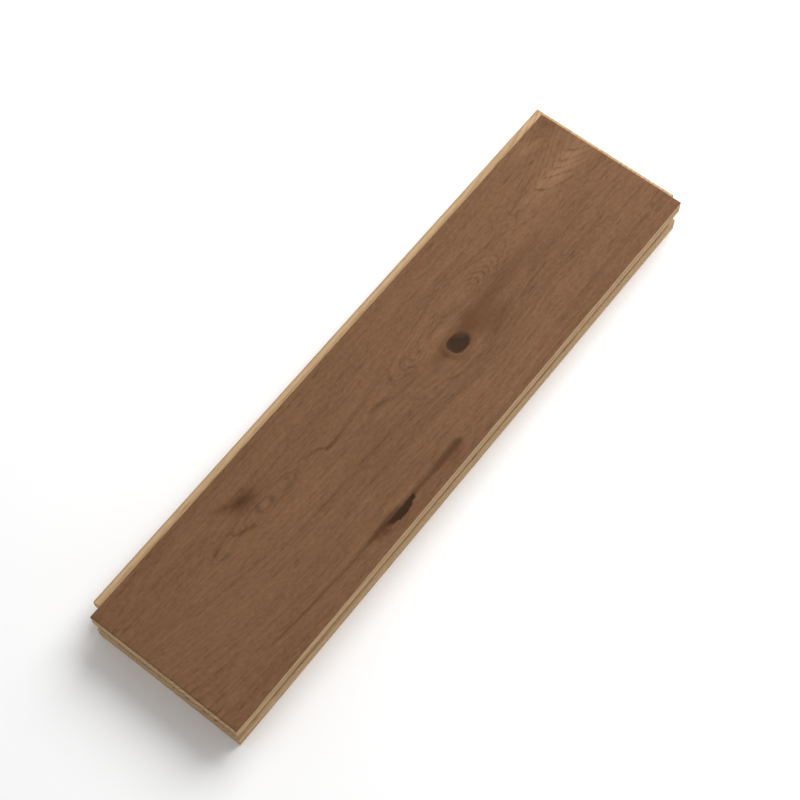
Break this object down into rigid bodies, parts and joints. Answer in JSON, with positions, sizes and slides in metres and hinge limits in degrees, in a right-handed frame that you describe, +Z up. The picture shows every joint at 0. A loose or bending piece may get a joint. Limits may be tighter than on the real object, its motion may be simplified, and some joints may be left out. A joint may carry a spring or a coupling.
{
  "type": "parquet block",
  "caption": "Solid oak parquet block with a matt brown face, and a tongue-and-groove joint round all its sides for a herringbone floor.",
  "frame": {"origin": "middle of the underside, halfway between the joint lines of the wear face", "axes": "+X along the grain towards the end with the tongue, +Y across the grain towards the side with the tongue, +Z up through the wear face"},
  "size_m": [0.286, 0.076, 0.02],
  "materials": {
    "oak": "matt brown stained wear face, raw planed oak on the joint and the underside"
  },
  "bodies": {
    "root": {"parquet_block": "oak"}
  },
  "joints": []
}
